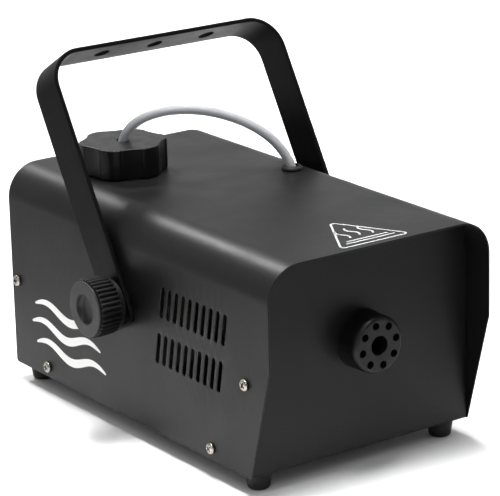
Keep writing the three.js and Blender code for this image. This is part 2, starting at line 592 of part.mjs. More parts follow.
// ---------- electrics ----------
function boardSolid() {
  const { x0, x1, y0, y1, z, thick } = BOARD;
  const sunk = z + thick - 0.2;
  return join(
    block(x0, x1, y0, y1, z, z + thick),
    block(x0 + 4, x0 + 32, y0 + 6, y0 + 32, sunk, sunk + 23),
    block(x0 + 37, x0 + 52, y0 + 8, y0 + 28, sunk, sunk + 16),
    block(x0 + 6, x0 + 42, y1 - 14, y1 - 4, sunk, sunk + 12),
    upZ(disc(x0 + 46, y0 + 42, 5.5, 12), sunk, sunk + 18),
  );
}

function carrierSolid() {
  const { x0, x1, y0, y1, z } = BOARD;
  const foot = SHEET + GAP;
  const posts = [[x0 + 4, y0 + 3], [x1 - 4, y0 + 3], [x0 + 4, y1 - 2.5], [x1 - 4, y1 - 2.5]];
  const base = block(x0 - 1, x1 + 1, y0 - 1, y1 + 1, foot, foot + 1.6);
  return join(base, ...posts.map(([x, y]) => upZ(disc(x, y, 2.4, 8), foot + 1, z - GAP)));
}

function inletScrewPlaces() {
  return [[INLET.x - 20, INLET.z], [INLET.x + 20, INLET.z]];
}

function inletSolid() {
  const flange = alongY(roundRect(-25, 25, -17.5, 17.5, 5), GAP, INLET.flange, 3);
  const body = block(-13.5, 13.5, -22, 1, -15.5, 15.5);
  const socket = outline([[-12, -13.5], [12, -13.5], [12, -1], [8.5, 2.5], [-8.5, 2.5], [-12, -1]]);
  const pocket = alongY(socket, -14.5, 5);
  const fuseRoom = block(-11.8, 11.8, -20, 5, 5, 13.8);
  const pins = [[-7, -7.5], [7, -7.5], [0, -3.5]].map(([x, z]) => block(x - 1, x + 1, -16, -1, z - 2, z + 2));
  const ears = [-20, 20].map((x) => join(
    alongY(disc(x, 0, 1.9, 8), -1, 5), alongY(disc(x, 0, 3.4, 14), INLET.seat, 5),
  ));
  return join(cut(join(flange, body), pocket, fuseRoom, ...ears), ...pins);
}

function drawerSolid() {
  const body = block(-11.4, 11.4, -19.5, 3, 5.4, 13.4);
  const fuseSeat = block(-10, 10, -17, -4, 7, 14);
  const lip = block(-4, 4, 2.5, 3, 6.4, 12.4);
  return join(cut(body, fuseSeat), lip);
}

function switchSolid() {
  const flange = alongY(roundRect(-7.8, 7.8, -11.5, 11.5, 1), GAP, 2, 2);
  const body = block(-6.3, 6.3, -16, 1, -9.8, 9.8);
  return cut(join(flange, body), block(-5.3, 5.3, -12, 3, -8.9, 8.9));
}

// The rocker turns about its own x axis. Local y points out of the rear panel.
function rockerSolid() {
  const shape = outline([[-4, -3], [2.2, -7.6], [5.2, -7.6], [3.4, 0], [5.2, 7.6], [2.2, 7.6], [-4, 3]]);
  return acrossX(shape, -4.9, 4.9);
}

// Local z points out of the rear panel.
function remoteSocketSolid() {
  const body = turned([
    [0, -11], [7.9, -11], [7.9, GAP], [10.5, GAP], [10.5, 1.6], [10, 2.1], [6.7, 2.1], [6.7, -6], [4.8, -6],
    [4.8, 1.2], [0, 1.2],
  ], 20);
  const holes = [];
  for (let i = 0; i < 5; i += 1) {
    const angle = Math.PI * (0.25 * i);
    holes.push(upZ(disc(3 * Math.cos(angle), 3 * Math.sin(angle), 0.7, 6), -7, 3));
  }
  return cut(body, ...holes);
}

function addElectrics() {
  part('control_board', boardSolid(), 0x2f6b3c, 0.5, 0);
  part('board_carrier', carrierSolid(), 0xcfcfca, 0.6, 0);
  const inlet = placed(INLET.x, REAR_PLATE_BACK, INLET.z);
  part('mains_inlet', inletSolid(), 0x151515, 0.5, 0, inlet);
  part('fuse_drawer', drawerSolid(), 0x1c1c1c, 0.5, 0, inlet);
  const inletScrew = screwSolid(1.5, 9, 3, 1.2);
  inletScrewPlaces().forEach(([x, z], i) => {
    const seat = placed(x, REAR_PLATE_BACK + INLET.seat + GAP, z, -Math.PI / 2);
    part(`inlet_screw_${i + 1}`, inletScrew, 0xb9b6ae, 0.3, 1, seat);
  });
  part('power_switch', switchSolid(), 0x161616, 0.45, 0, placed(SWITCH.x, REAR_PLATE_BACK, SWITCH.z));
  part('rocker', rockerSolid(), 0x9c1f1a, 0.35, 0, placed(SWITCH.x, SWITCH.pivot, SWITCH.z, -SWITCH.tilt));
  const socketSeat = placed(REMOTE.x, REAR_PLATE_BACK, REMOTE.z, -Math.PI / 2);
  part('remote_socket', remoteSocketSolid(), 0x8c8e90, 0.4, 1, socketSeat);
}

addCase();
addYoke();
addNozzle();
addFluidSupply();
addPump();
addHeater();
addElectrics();

export default machine;
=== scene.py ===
import math
import bmesh
import bpy
from mathutils import Matrix, Vector
from mathutils.geometry import tessellate_polygon


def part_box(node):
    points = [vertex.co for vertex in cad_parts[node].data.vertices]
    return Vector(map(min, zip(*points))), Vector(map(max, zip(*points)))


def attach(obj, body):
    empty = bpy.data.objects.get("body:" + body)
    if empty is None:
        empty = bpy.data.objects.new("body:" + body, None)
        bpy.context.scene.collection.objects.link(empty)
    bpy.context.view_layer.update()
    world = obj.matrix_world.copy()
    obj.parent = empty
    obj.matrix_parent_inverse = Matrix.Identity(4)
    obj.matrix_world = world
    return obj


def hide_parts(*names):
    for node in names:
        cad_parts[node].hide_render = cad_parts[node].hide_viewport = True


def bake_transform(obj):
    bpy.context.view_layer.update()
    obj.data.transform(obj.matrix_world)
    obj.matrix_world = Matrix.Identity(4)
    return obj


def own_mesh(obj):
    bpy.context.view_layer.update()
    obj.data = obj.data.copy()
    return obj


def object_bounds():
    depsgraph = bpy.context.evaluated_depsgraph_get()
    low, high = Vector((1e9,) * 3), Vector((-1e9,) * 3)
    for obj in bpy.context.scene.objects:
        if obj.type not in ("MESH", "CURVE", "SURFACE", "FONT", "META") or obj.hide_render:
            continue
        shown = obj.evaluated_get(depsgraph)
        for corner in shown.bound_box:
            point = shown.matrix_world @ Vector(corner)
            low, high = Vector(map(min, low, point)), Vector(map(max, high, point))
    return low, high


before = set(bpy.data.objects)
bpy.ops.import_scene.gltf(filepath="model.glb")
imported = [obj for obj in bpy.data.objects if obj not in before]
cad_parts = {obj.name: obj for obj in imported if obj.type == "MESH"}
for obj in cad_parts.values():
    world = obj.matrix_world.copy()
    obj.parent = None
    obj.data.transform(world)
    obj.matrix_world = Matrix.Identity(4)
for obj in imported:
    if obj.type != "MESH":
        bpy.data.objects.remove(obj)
cad_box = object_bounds()

# ---------- sizes in millimetres, in the case's own frame ----------
# x from the middle, y from the hood's front edge, z from the cover's lower edge.
MM = 0.001
WIDTH, HEIGHT, LENGTH, SHEET, BEND = 180.0, 147.2, 319.0, 1.2, 24.0
HOOD_DEPTH, HOOD_LIP = 22.8, 79.5
PLATE_GAP = 0.3
SLOT_LENGTH, SLOT_WIDTH, SLOT_PITCH, SLOT_LEAN, SLOT_FIRST = 22.4, 4.0, 8.0, 0.196, 49.6
SLOT_ROWS, SLOT_COUNT = (94.8, 61.3), 10
SIDE_SCREWS = ((27.3, 63.9), (311.3, 63.5), (68.0, 8.3), (274.1, 7.6))
FOOT_PLACES = ((-75.5, 35.5), (75.5, 35.5), (-75.5, 306.5), (75.5, 306.5))
FOOT_NAMES = ("front_left", "front_right", "rear_left", "rear_right")
PIVOT = (171.0, 84.0)
YOKE_TILT = math.radians(-30.5)
NOZZLE_Z = 77.0
CAP = (-31.6, 255.3)
GROMMET = (60.2, 179.8)
PUMP = (60.4, 179.6)
INLET, INLET_SCREW_REACH = (50, 40), 20
SWITCH = (50, 90)
REMOTE = (4, 34)
SCREW_SHANK, SCREW_HEAD, SCREW_HEAD_HEIGHT = 2, 4, 2.3
SCREW_HOLE, PIVOT_HOLE = 2.3, 4.4
HOSE_RADIUS, HOSE_BORE = 3.4, 2.0
# The hose's middle line, the same points as in part.mjs.
HOSE_ROUTE = (
    (-35, 258.2, 18.3), (-35, 258.2, 50), (-35, 258.2, 90), (-35, 258.2, 125), (-34.5, 257.8, 143),
    (-33.3, 256.7, 157), (-31.5, 255.2, 168.4), (-27.9, 252.3, 176.8), (-22.7, 248.2, 182.7),
    (-16, 242.6, 186.9), (-7.8, 235.9, 189.7), (2.9, 227, 190.8), (13.7, 218.2, 189.8),
    (24.4, 209.4, 186.7), (35.1, 200.5, 181.5), (44.2, 193, 174.8), (51.3, 187.2, 166.9),
    (56.9, 182.5, 157.2), (59.6, 180.4, 149.5), (60.4, 179.7, 142), (60.4, 179.6, 132),
    (60.4, 179.6, 122.3),
)

cover_low, cover_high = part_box("cover")
CASE = Matrix.Translation(Vector((0, cover_low.y, cover_low.z))) @ Matrix.Scale(MM, 4)


def place(x, y, z, turn_x=0.0, turn_y=0.0):
    """A place in the case's frame, turned about x after y."""
    turned = Matrix.Rotation(turn_x, 4, "X") @ Matrix.Rotation(turn_y, 4, "Y")
    return CASE @ Matrix.Translation((x, y, z)) @ turned


# ---------- camera ----------
# Its place and directions come from a least-squares fit to the case's outline edges in the photograph.
CAMERA_PLACE = (-1016.1, -1316.9, 658.1)
CAMERA_RIGHT = (0.81696, -0.57616, -0.02473)
CAMERA_UP = (0.18908, 0.22710, 0.95534)
lens = bpy.data.cameras.new("camera")
lens.lens = 196.0
lens.sensor_width = 36.0
lens.clip_start = 0.05
camera = bpy.data.objects.new("camera", lens)
right = Vector(CAMERA_RIGHT).normalized()
back = right.cross(Vector(CAMERA_UP)).normalized()
up = back.cross(right)
turn = Matrix((right, up, back)).transposed().to_4x4()
camera.matrix_world = Matrix.Translation(CASE @ Vector(CAMERA_PLACE)) @ turn
bpy.context.scene.collection.objects.link(camera)
bpy.context.scene.camera = camera


# ---------- materials ----------
BANDS_PER_SCALE = 3.1831


class Shade:
    """A node material with fine bump and uneven colour and roughness, in millimetres of the object."""

    def __init__(self, name, colour, rough, metal=0.0, **sockets):
        self.material = bpy.data.materials.new(name)
        self.material.use_nodes = True
        self.material.diffuse_color = (*colour, 1)
        self.tree = self.material.node_tree
        self.shader = self.tree.nodes["Principled BSDF"]
        self.shader.inputs["Base Color"].default_value = (*colour, 1)
        self.shader.inputs["Roughness"].default_value = rough
        self.shader.inputs["Metallic"].default_value = metal
        for key, value in sockets.items():
            self.shader.inputs[key.replace("_", " ")].default_value = value
        self.colour = colour
        self.rough = rough
        self.place = self.node("ShaderNodeTexCoord").outputs["Object"]
        self.last_normal = None

    def node(self, kind, **settings):
        made = self.tree.nodes.new(kind)
        for key, value in settings.items():
            setattr(made, key, value)
        return made

    def link(self, source, target):
        self.tree.links.new(source, target)

    def scaled(self, stretch=(1, 1, 1)):
        mapping = self.node("ShaderNodeMapping")
        mapping.inputs["Scale"].default_value = stretch
        self.link(self.place, mapping.inputs["Vector"])
        return mapping.outputs["Vector"]

    def noise(self, size_mm, detail=2.0, stretch=(1, 1, 1), distortion=0.0):
        made = self.node("ShaderNodeTexNoise")
        made.inputs["Scale"].default_value = 1000.0 / size_mm
        made.inputs["Detail"].default_value = detail
        made.inputs["Distortion"].default_value = distortion
        self.link(self.scaled(stretch), made.inputs["Vector"])
        return made.outputs["Fac"]

    def cells(self, size_mm, stretch=(1, 1, 1), feature="F1"):
        made = self.node("ShaderNodeTexVoronoi", feature=feature)
        made.inputs["Scale"].default_value = 1000.0 / size_mm
        self.link(self.scaled(stretch), made.inputs["Vector"])
        return made.outputs["Distance"]

    def waves(self, size_mm):
        """Level bands. A wave texture shows BANDS_PER_SCALE of them to a unit of its scale."""
        made = self.node("ShaderNodeTexWave", bands_direction="Z", wave_profile="SIN")
        made.inputs["Scale"].default_value = 1000.0 / size_mm / BANDS_PER_SCALE
        made.inputs["Distortion"].default_value = 0.0
        self.link(self.place, made.inputs["Vector"])
        return made.outputs["Fac"]

    def bump(self, height, depth_mm):
        made = self.node("ShaderNodeBump")
        made.inputs["Distance"].default_value = depth_mm * MM
        made.inputs["Strength"].default_value = 1.0
        self.link(height, made.inputs["Height"])
        if self.last_normal:
            self.link(self.last_normal, made.inputs["Normal"])
        self.last_normal = made.outputs["Normal"]
        self.link(self.last_normal, self.shader.inputs["Normal"])
        return self

    def spread(self, source, low, high, from_low=0.3, from_high=0.7):
        made = self.node("ShaderNodeMapRange")
        made.inputs["From Min"].default_value = from_low
        made.inputs["From Max"].default_value = from_high
        made.inputs["To Min"].default_value = low
        made.inputs["To Max"].default_value = high
        self.link(source, made.inputs["Value"])
        return made.outputs["Result"]

    def uneven_gloss(self, source, amount):
        rough = self.spread(source, self.rough - amount, self.rough + amount)
        self.link(rough, self.shader.inputs["Roughness"])
        return self

    def uneven_colour(self, source, other, from_low=0.35, from_high=0.65):
        mix = self.node("ShaderNodeMix", data_type="RGBA")
        mix.inputs["A"].default_value = (*self.colour, 1)
        mix.inputs["B"].default_value = (*other, 1)
        self.link(self.spread(source, 0, 1, from_low, from_high), mix.inputs["Factor"])
        self.link(mix.outputs["Result"], self.shader.inputs["Base Color"])
        return self


def powder_coat(name, colour, lighter, rough, depth, gloss):
    """Sprayed powder coat: fine sand-like grain over a slow orange peel."""
    coat = Shade(name, colour, rough, Specular_IOR_Level=gloss)
    coat.bump(coat.noise(5.5, 1), 0.05).bump(coat.noise(0.75, 3), depth)
    coat.uneven_gloss(coat.noise(38, 4), 0.05)
    return coat.uneven_colour(coat.noise(1.3, 3), lighter).material


def moulded(name, colour, lighter, rough, grain, depth, **sockets):
    """Injection-moulded plastic with a spark-eroded grain."""
    plastic = Shade(name, colour, rough, **sockets)
    plastic.bump(plastic.noise(grain, 2), depth)
    plastic.uneven_gloss(plastic.noise(9, 3), 0.06)
    return plastic.uneven_colour(plastic.noise(14, 3), lighter).material


def metal(name, colour, darker, rough, grain, stretch=(1, 1, 1), depth=0.006):
    """Bare or plated metal with drawn or turned lines along its stretch, and slight tarnish."""
    sheen = Shade(name, colour, rough, 1.0)
    sheen.bump(sheen.noise(grain, 3, stretch), depth)
    sheen.uneven_gloss(sheen.noise(4.5, 4), 0.09)
    return sheen.uneven_colour(sheen.noise(7, 5), darker).material


coat_case = powder_coat("coat_case", (0.0035, 0.0035, 0.0039), (0.0065, 0.0065, 0.007), 0.4, 0.035, 0.18)
coat_plate = powder_coat("coat_plate", (0.004, 0.0038, 0.004), (0.007, 0.0068, 0.007), 0.42, 0.035, 0.2)
coat_yoke = powder_coat("coat_yoke", (0.002, 0.002, 0.0022), (0.0032, 0.0032, 0.0036), 0.42, 0.03, 0.07)
# The knob is one moulded plastic in two copies. The ribbed barrel's darker colour is painted shade, and the
# face's lighter colour is painted light.
knob_ribs = moulded(
    "knob_ribs", (0.003, 0.003, 0.0031), (0.006, 0.006, 0.0062), 0.46, 0.5, 0.02, Specular_IOR_Level=0.22,
)
knob_black = moulded(
    "knob_black", (0.02, 0.0198, 0.0204), (0.026, 0.0257, 0.0265), 0.46, 0.5, 0.02, Specular_IOR_Level=0.3,
)
cap_black = moulded(
    "cap_black", (0.002, 0.0021, 0.0023), (0.0034, 0.0035, 0.0038), 0.36, 0.6, 0.012, Specular_IOR_Level=0.25,
)
shroud_black = moulded(
    "shroud_black", (0.003, 0.0029, 0.003), (0.005, 0.0049, 0.005), 0.36, 0.4, 0.01, Specular_IOR_Level=0.25,
)
panel_black = moulded("panel_black", (0.013, 0.013, 0.0135), (0.018, 0.018, 0.0185), 0.4, 0.4, 0.014)
pale_plastic = moulded("pale_plastic", (0.6, 0.6, 0.57), (0.66, 0.66, 0.63), 0.5, 0.6, 0.02)
phenolic = moulded("phenolic", (0.1, 0.055, 0.03), (0.14, 0.08, 0.045), 0.55, 0.5, 0.03)
rocker_gloss = moulded("rocker_gloss", (0.42, 0.016, 0.012), (0.46, 0.022, 0.016), 0.22, 0.7, 0.006)

rubber = Shade("rubber", (0.006, 0.006, 0.0064), 0.6, Specular_IOR_Level=0.25)
rubber.bump(rubber.noise(0.6, 4), 0.05).uneven_gloss(rubber.noise(5, 3), 0.1)
rubber = rubber.uneven_colour(rubber.noise(3.5, 5), (0.013, 0.0125, 0.0122)).material

nickel = metal("nickel", (0.46, 0.43, 0.4), (0.3, 0.28, 0.25), 0.27, 0.5)
zinc = metal("zinc", (0.6, 0.61, 0.62), (0.5, 0.51, 0.53), 0.36, 0.35, (1, 14, 1), 0.01)
brass = metal("brass", (0.68, 0.46, 0.19), (0.54, 0.34, 0.14), 0.28, 0.4, (1, 1, 16), 0.008)
copper = metal("copper", (0.75, 0.36, 0.2), (0.5, 0.22, 0.13), 0.3, 0.5)
cast_alloy = metal("cast_alloy", (0.58, 0.59, 0.6), (0.45, 0.46, 0.47), 0.52, 1.6, (1, 1, 1), 0.12)

natural = Shade("natural", (0.74, 0.75, 0.7), 0.42, Subsurface_Weight=0.25, Subsurface_Scale=0.004)
natural.bump(natural.noise(16, 2), 0.25).uneven_gloss(natural.noise(11, 3), 0.08)
natural = natural.uneven_colour(natural.noise(26, 3), (0.68, 0.69, 0.62)).material

silicone = Shade(
    "silicone", (0.62, 0.63, 0.65), 0.36, Transmission_Weight=0.45, IOR=1.2,
    Subsurface_Weight=0.7, Subsurface_Scale=0.004, Subsurface_Radius=(1, 1, 1),
)
silicone.uneven_gloss(silicone.noise(6, 3), 0.04)
silicone = silicone.uneven_colour(silicone.noise(22, 1), (0.58, 0.59, 0.61)).material

winding = Shade("winding", (0.3, 0.07, 0.03), 0.4)
winding.bump(winding.waves(0.6), 0.12).uneven_gloss(winding.noise(4, 3), 0.1)
winding = winding.uneven_colour(winding.noise(9, 3), (0.36, 0.12, 0.04)).material

wool = Shade("wool", (0.72, 0.69, 0.6), 0.95, Sheen_Weight=0.3)
wool.bump(wool.noise(1.2, 6, (1, 5, 1), 1.4), 0.9).uneven_gloss(wool.noise(5, 3), 0.04)
wool = wool.uneven_colour(wool.noise(4, 5), (0.56, 0.52, 0.43)).material

board = Shade("board", (0.02, 0.11, 0.035), 0.34)
board.bump(board.cells(4.2, (1, 1, 0.2), "DISTANCE_TO_EDGE"), 0.08).uneven_gloss(board.noise(8, 2), 0.06)
board = board.uneven_colour(board.cells(5.1, (1, 1, 0.2), "DISTANCE_TO_EDGE"), (0.06, 0.2, 0.07), 0.02, 0.05)
board = board.material

ink = Shade("ink", (0.98, 0.98, 0.97), 0.45)
ink.bump(ink.noise(0.75, 3), 0.04).uneven_gloss(ink.noise(8, 3), 0.06)
ink = ink.uneven_colour(ink.noise(0.9, 4), (0.93, 0.93, 0.92)).material
label_ink = Shade("label_ink", (0.5, 0.5, 0.5), 0.5)
label_ink.bump(label_ink.noise(0.75, 3), 0.04).uneven_gloss(label_ink.noise(6, 3), 0.06)
label_ink = label_ink.uneven_colour(label_ink.noise(0.8, 4), (0.38, 0.38, 0.38)).material


# ---------- mesh building ----------
def piece(name, points, faces, matrix, material, slot, body, nodes=(), bevel=0.0, angle=35.0):
    """A smooth-shaded mesh piece that rides on a body and stands for CAD nodes."""
    mesh = bpy.data.meshes.new(name)
    mesh.from_pydata([matrix @ Vector(p) for p in points], [], faces)
    return dressed(name, mesh, material, body, nodes, bevel, angle)


def dressed(name, mesh, material, body, nodes=(), bevel=0.0, angle=35.0):
    work = bmesh.new()
    work.from_mesh(mesh)
    bmesh.ops.remove_doubles(work, verts=work.verts, dist=2e-6)
    bmesh.ops.recalc_face_normals(work, faces=work.faces)
    work.to_mesh(mesh)
    work.free()
    mesh.polygons.foreach_set("use_smooth", [True] * len(mesh.polygons))
    mesh.materials.clear()
    mesh.materials.append(material)
    made = bpy.data.objects.new(name, mesh)
    bpy.context.scene.collection.objects.link(made)
    if bevel:
        round_edges = made.modifiers.new("round_edges", "BEVEL")
        round_edges.width = bevel * MM
        round_edges.segments = 2
        round_edges.limit_method = "ANGLE"
        round_edges.angle_limit = math.radians(angle)
        round_edges.use_clamp_overlap = True
    even = made.modifiers.new("even_shading", "WEIGHTED_NORMAL")
    even.keep_sharp = True
    even.weight = 100
    if body:
        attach(made, body)
    if nodes:
        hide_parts(*nodes)
    return made


def carved(name, points, faces, cutters):
    """A mesh with the cutters' space taken out. Everything is in local millimetres."""
    def link(label, mesh_points, mesh_faces):
        mesh = bpy.data.meshes.new(label)
        mesh.from_pydata([Vector(p) for p in mesh_points], [], mesh_faces)
        work = bmesh.new()
        work.from_mesh(mesh)
        bmesh.ops.recalc_face_normals(work, faces=work.faces)
        work.to_mesh(mesh)
        work.free()
        made = bpy.data.objects.new(label, mesh)
        bpy.context.scene.collection.objects.link(made)
        return made

    base = link(name, points, faces)
    tools = [link(f"{name}_tool_{i}", *tool) for i, tool in enumerate(cutters)]
    for tool in tools:
        step = base.modifiers.new("cut", "BOOLEAN")
        step.operation = "DIFFERENCE"
        step.solver = "EXACT"
        step.object = tool
    bpy.context.view_layer.update()
    shaped = base.evaluated_get(bpy.context.evaluated_depsgraph_get())
    mesh = shaped.to_mesh()
    result = [tuple(v.co) for v in mesh.vertices], [tuple(p.vertices) for p in mesh.polygons]
    shaped.to_mesh_clear()
    for made in [base, *tools]:
        old = made.data
        bpy.data.objects.remove(made)
        bpy.data.meshes.remove(old)
    return result


def joined(*shapes):
    points, faces = [], []
    for more_points, more_faces in shapes:
        start = len(points)
        points.extend(more_points)
        faces.extend(tuple(i + start for i in face) for face in more_faces)
    return points, faces


def moved(shape, matrix):
    return [tuple(matrix @ Vector(p)) for p in shape[0]], shape[1]


def turned(profile, sides=64, wave=None):
    """A profile of (radius, z) turned about z. wave(angle, radius, z) gives the radius at an angle."""
    points, faces, rows = [], [], []
    for radius, z in profile:
        if radius == 0:
            rows.append([len(points)] * sides)
            points.append((0.0, 0.0, z))
            continue
        row = []
        for i in range(sides):
            angle = 2 * math.pi * i / sides
            r = wave(angle, radius, z) if wave else radius
            row.append(len(points))
            points.append((r * math.cos(angle), r * math.sin(angle), z))
        rows.append(row)
    closed = profile[0][0] != 0
    pairs = zip(rows, rows[1:] + rows[:1]) if closed else zip(rows, rows[1:])
    for low, high in pairs:
        for i in range(sides):
            j = (i + 1) % sides
            corner = [low[i], low[j], high[j], high[i]]
            face = [k for n, k in enumerate(corner) if k not in corner[:n]]
            if len(face) > 2:
                faces.append(tuple(face))
    return points, faces


def block(x0, x1, y0, y1, z0, z1):
    points = [(x, y, z) for z in (z0, z1) for y in (y0, y1) for x in (x0, x1)]
    faces = [(0, 2, 3, 1), (4, 5, 7, 6), (0, 1, 5, 4), (2, 6, 7, 3), (0, 4, 6, 2), (1, 3, 7, 5)]
    return points, faces


def rod(radius, z0, z1, sides=32, x=0.0, y=0.0):
    points, faces = turned([(0, z0), (radius, z0), (radius, z1), (0, z1)], sides)
    return [(px + x, py + y, pz) for px, py, pz in points], faces


def arc(x, y, radius, start, end, steps):
    """Points on an arc, angles in degrees."""
    found = []
    for i in range(steps + 1):
        angle = math.radians(start + (end - start) * i / steps)
        found.append((x + radius * math.cos(angle), y + radius * math.sin(angle)))
    return found


def circle(x, y, radius, sides=40):
    return arc(x, y, radius, 0, 360 - 360 / sides, sides - 1)


def rounded(corners, radii, steps=6):
    """A closed outline with each corner rounded."""
    found = []
    count = len(corners)
    for i, (corner, radius) in enumerate(zip(corners, radii)):
        here = Vector(corner)
        before = (Vector(corners[i - 1]) - here).normalized()
        after = (Vector(corners[(i + 1) % count]) - here).normalized()
        if radius <= 0:
            found.append(tuple(here))
            continue
        half = before.angle(after) / 2
        centre = here + (before + after).normalized() * radius / math.sin(half)
        start = here + before * radius / math.tan(half) - centre
        end = here + after * radius / math.tan(half) - centre
        sweep = start.angle_signed(end)
        for k in range(steps + 1):
            angle = -sweep * k / steps
            found.append(tuple(centre + Matrix.Rotation(angle, 2) @ start))
    return found


def area_of(outline):
    total = 0.0
    for (x0, y0), (x1, y1) in zip(outline, outline[1:] + outline[:1]):
        total += x0 * y1 - x1 * y0
    return total / 2


def inset(outline, distance):
    """The outline moved towards its left by a small distance."""
    found = []
    count = len(outline)
    for i in range(count):
        here = Vector(outline[i])
        first = (here - Vector(outline[i - 1])).normalized()
        second = (Vector(outline[(i + 1) % count]) - here).normalized()
        left = Vector((-first.y, first.x)) + Vector((-second.y, second.x))
        left.normalize()
        lean = max(0.5, left.dot(Vector((-first.y, first.x))))
        found.append(tuple(here + left * distance / lean))
    return found


def plate(outlines, thickness, edge):
    """A flat plate with rounded edges. The first outline is the outside and the others are holes."""
    points, faces = [], []
    half = thickness / 2
    tops, bottoms = [], []
    for number, outline in enumerate(outlines):
        counter_clockwise = area_of(outline) > 0
        if counter_clockwise != (number == 0):
            outline = outline[::-1]
        inner = inset(outline, edge)
        rings = [(inner, half), (outline, half - edge), (outline, edge - half), (inner, -half)]
        starts = []
        for ring, height in rings:
            starts.append(len(points))
            points.extend((x, y, height) for x, y in ring)
        count = len(outline)
        for low, high in zip(starts[1:], starts):
            for i in range(count):
                j = (i + 1) % count
                faces.append((low + i, low + j, high + j, high + i))
        tops.append((starts[0], inner))
        bottoms.append((starts[3], inner))
    order = [start + i for start, ring in tops for i in range(len(ring))]
    flat = [[Vector((x, y, 0)) for x, y in ring] for _, ring in tops]
    lower = [start + i for start, ring in bottoms for i in range(len(ring))]
    for a, b, c in tessellate_polygon(flat):
        faces.append((order[a], order[b], order[c]))
        faces.append((lower[c], lower[b], lower[a]))
    return points, faces


def folded(shape, start, heading, legs):
    """Folds a flat plate along its first axis. legs are (length, turn in degrees) from the start point."""
    marks, at, stops = [], 0.0, []
    where, angle = Vector(start), math.radians(heading)
    for length, bend in legs:
        turn_by = math.radians(bend)
        marks.append((at, length, turn_by, where.copy(), angle))
        steps = max(1, round(abs(bend) / 7.5))
        stops.extend(at + length * k / steps for k in range(steps + 1))
        if turn_by:
            radius = length / turn_by
            centre = where + Vector((-math.sin(angle), math.cos(angle))) * radius
            angle += turn_by
            where = centre - Vector((-math.sin(angle), math.cos(angle))) * radius
        else:
            where += Vector((math.cos(angle), math.sin(angle))) * length
        at += length
    work = bmesh.new()
    corners = [work.verts.new(p) for p in shape[0]]
    for face in shape[1]:
        try:
            work.faces.new([corners[i] for i in face])
        except ValueError:
            continue
    for stop in sorted(set(round(s, 6) for s in stops))[1:-1]:
        geometry = list(work.verts) + list(work.edges) + list(work.faces)
        bmesh.ops.bisect_plane(work, geom=geometry, dist=1e-5, plane_co=(stop, 0, 0), plane_no=(1, 0, 0))
    work.verts.index_update()
    points = []
    for vertex in work.verts:
        u, v, w = vertex.co
        mark = marks[0]
        for candidate in marks:
            if u >= candidate[0] - 1e-6:
                mark = candidate
        begin, length, turn_by, base, angle = mark
        along = u - begin
        if turn_by:
            radius = length / turn_by
            centre = base + Vector((-math.sin(angle), math.cos(angle))) * radius
            angle += turn_by * along / length
            spot = centre - Vector((-math.sin(angle), math.cos(angle))) * radius
        else:
            spot = base + Vector((math.cos(angle), math.sin(angle))) * along
        spot += Vector((-math.sin(angle), math.cos(angle))) * w
        points.append((spot.x, v, spot.y))
    faces = [tuple(v.index for v in face.verts) for face in work.faces]
    work.free()
    return points, faces


def smooth_route(route, steps):
    """A centripetal curve through the points, as many steps to each stretch."""
    points = [Vector(p) for p in route]
    points = [points[0] * 2 - points[1], *points, points[-1] * 2 - points[-2]]
    found = []
    for i in range(1, len(points) - 2):
        p0, p1, p2, p3 = points[i - 1:i + 3]
        t0 = 0.0
        t1 = t0 + (p1 - p0).length ** 0.5
        t2 = t1 + (p2 - p1).length ** 0.5
        t3 = t2 + (p3 - p2).length ** 0.5
        for k in range(steps):
            t = t1 + (t2 - t1) * k / steps
            a1 = p0 * ((t1 - t) / (t1 - t0)) + p1 * ((t - t0) / (t1 - t0))
            a2 = p1 * ((t2 - t) / (t2 - t1)) + p2 * ((t - t1) / (t2 - t1))
            a3 = p2 * ((t3 - t) / (t3 - t2)) + p3 * ((t - t2) / (t3 - t2))
            b1 = a1 * ((t2 - t) / (t2 - t0)) + a2 * ((t - t0) / (t2 - t0))
            b2 = a2 * ((t3 - t) / (t3 - t1)) + a3 * ((t - t1) / (t3 - t1))
            found.append(b1 * ((t2 - t) / (t2 - t1)) + b2 * ((t - t1) / (t2 - t1)))
    found.append(points[-2])
    return found


def tube(route, outer, inner, sides=24):
    """A tube with an open bore along a route, or a solid wire where inner is None."""
    points, rows = [], []
    side = Vector((1, 0, 0))
    for i, here in enumerate(route):
        ahead = route[min(i + 1, len(route) - 1)] - route[max(i - 1, 0)]
        ahead.normalize()
        side = (side - ahead * side.dot(ahead)).normalized()
        other = ahead.cross(side)
        rays = []
        for k in range(sides):
            angle = 2 * math.pi * k / sides
            rays.append(side * math.cos(angle) + other * math.sin(angle))
        rows.append(len(points))
        points.extend(here + ray * outer for ray in rays)
        if inner is not None:
            points.extend(here + ray * inner for ray in rays)
    faces = []
    for a, b in zip(rows, rows[1:]):
        for k in range(sides):
            n = (k + 1) % sides
            faces.append((a + k, a + n, b + n, b + k))
            if inner is not None:
                faces.append((a + sides + n, a + sides + k, b + sides + k, b + sides + n))
    for a in (rows[0], rows[-1]):
        if inner is None:
            faces.append(tuple(range(a, a + sides)))
            continue
        for k in range(sides):
            n = (k + 1) % sides
            faces.append((a + k, a + n, a + sides + n, a + sides + k))
    return points, faces


# ---------- feed hose ----------
hose_line = smooth_route(HOSE_ROUTE, 8)
hose_points, hose_faces = tube(hose_line, HOSE_RADIUS, HOSE_BORE)
hose = piece("feed_tube", hose_points, hose_faces, CASE, silicone, "hose", None, ["feed_hose"])
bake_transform(hose)


# ---------- sheet-metal case ----------
def slot_outline(u_of, y, z):
    lean = math.atan(SLOT_LEAN)
    reach = SLOT_LENGTH / 2 - SLOT_WIDTH / 2
    dy, dz = -reach * math.sin(lean), reach * math.cos(lean)
    tilt = math.degrees(lean)
    ends = arc(y + dy, z + dz, SLOT_WIDTH / 2, tilt, 180 + tilt, 8)
    ends += arc(y - dy, z - dz, SLOT_WIDTH / 2, 180 + tilt, 360 + tilt, 8)
    return [(u_of(b), a) for a, b in ends]


